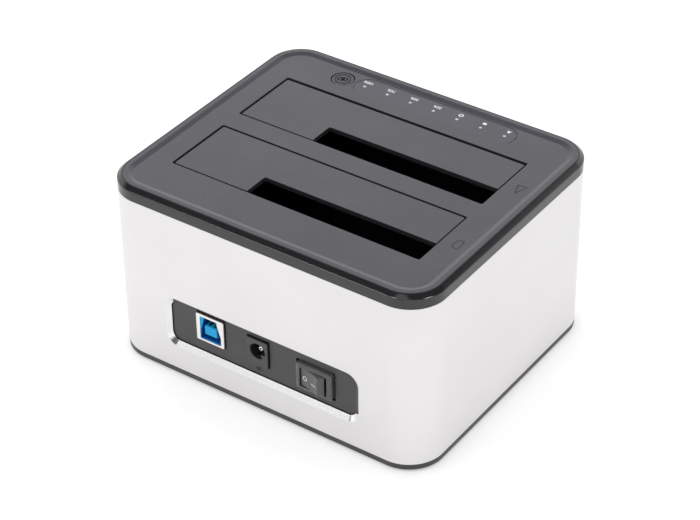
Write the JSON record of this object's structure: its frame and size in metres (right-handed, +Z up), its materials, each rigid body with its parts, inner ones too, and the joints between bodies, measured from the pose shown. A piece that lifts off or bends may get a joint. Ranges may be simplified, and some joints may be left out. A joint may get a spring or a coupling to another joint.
{
  "type": "drive duplicator dock",
  "caption": "Rectangular drive dock with spring flaps over two lid openings, copy button, lamp strip, aluminium sleeve, and USB, power inlet and rocker switch on one side.",
  "frame": {"origin": "middle of the underside, on the surface that the feet stand on", "axes": "+Z up, -Y the connector side, +Y the user's side with button and lamps, +X to the right when the connectors are faced"},
  "size_m": [0.135, 0.1161, 0.075],
  "materials": {
    "anodised_aluminium": "bead-blasted, clear anodised, satin",
    "black_abs": "moulded, fine matte grain",
    "foot_rubber": "matte",
    "screw_steel": "black zinc",
    "gloss_black_abs": "polished black",
    "matte_grey_abs": "fine spark-eroded grain",
    "inlay_film": "printed film, satin",
    "clear_acrylic": "clear moulded",
    "circuit_board": "green solder mask",
    "lamp_epoxy": "clear epoxy",
    "switch_nylon": "moulded nylon, satin",
    "pin_steel": "ground",
    "spring_steel": "drawn wire",
    "well_abs": "moulded black",
    "socket_nylon": "moulded black",
    "contact_gold": "gold flash",
    "chip_epoxy": "moulded epoxy",
    "tin_plate": "tin plated",
    "capacitor_can": "drawn can",
    "cable_film": "polyester film",
    "panel_abs": "fine moulded grain",
    "usb_blue_nylon": "moulded blue",
    "jack_nylon": "moulded black"
  },
  "bodies": {
    "case": {"housing_sleeve": "anodised_aluminium", "base_plate": "black_abs", "rubber_feet": "foot_rubber", "case_screws": "screw_steel", "lid_rim": "gloss_black_abs", "top_plate": "matte_grey_abs", "indicator_inlay": "inlay_film", "light_pipes": "clear_acrylic", "indicator_board": "circuit_board", "indicator_leds": "lamp_epoxy", "indicator_screws": "screw_steel", "tact_switch": "black_abs", "front_hinge_pin": "pin_steel", "rear_hinge_pin": "pin_steel", "front_flap_spring": "spring_steel", "rear_flap_spring": "spring_steel", "front_bay_well": "well_abs", "rear_bay_well": "well_abs", "bay_screws": "screw_steel", "front_drive_socket": "socket_nylon", "rear_drive_socket": "socket_nylon", "front_drive_contacts": "contact_gold", "rear_drive_contacts": "contact_gold", "main_board": "circuit_board", "board_screws": "screw_steel", "bridge_chip": "chip_epoxy", "crystal": "tin_plate", "capacitors": "capacitor_can", "inductors": "chip_epoxy", "ribbon_headers": "socket_nylon", "ribbon_cable": "cable_film", "connector_panel": "panel_abs", "usb_shell": "tin_plate", "usb_insulator": "usb_blue_nylon", "usb_contacts": "contact_gold", "dc_jack_body": "jack_nylon", "dc_jack_pin": "tin_plate", "dc_jack_spring": "spring_steel", "switch_body": "switch_nylon", "switch_terminals": "tin_plate"},
    "front_door": {"front_flap": "matte_grey_abs"},
    "rear_door": {"rear_flap": "matte_grey_abs"},
    "copy_button": {"clone_button": "matte_grey_abs", "tact_plunger": "switch_nylon"},
    "power_rocker": {"rocker": "switch_nylon"}
  },
  "joints": [
    {"name": "front_flap_hinge", "type": "hinge", "parent": "case", "child": "front_door", "pos_m": [0, -0.0014, 0.0701], "axis": [1, 0, 0], "range_deg": [0, 88], "stiffness_Nm_per_rad": 0.003, "springref_deg": -68.75, "deforming": ["front_flap_spring"]},
    {"name": "rear_flap_hinge", "type": "hinge", "parent": "case", "child": "rear_door", "pos_m": [0, 0.03795, 0.0701], "axis": [1, 0, 0], "range_deg": [0, 88], "stiffness_Nm_per_rad": 0.003, "springref_deg": -68.75, "deforming": ["rear_flap_spring"]},
    {"name": "copy_button_press", "type": "slide", "parent": "case", "child": "copy_button", "axis": [0, 0, -1], "range_m": [0, 0.001], "stiffness_N_per_m": 600, "springref_m": -0.0015},
    {"name": "rocker_hinge", "type": "hinge", "parent": "case", "child": "power_rocker", "pos_m": [0.02285, -0.0528, 0.0235], "axis": [0, 0, 1], "range_deg": [0, 30]}
  ]
}
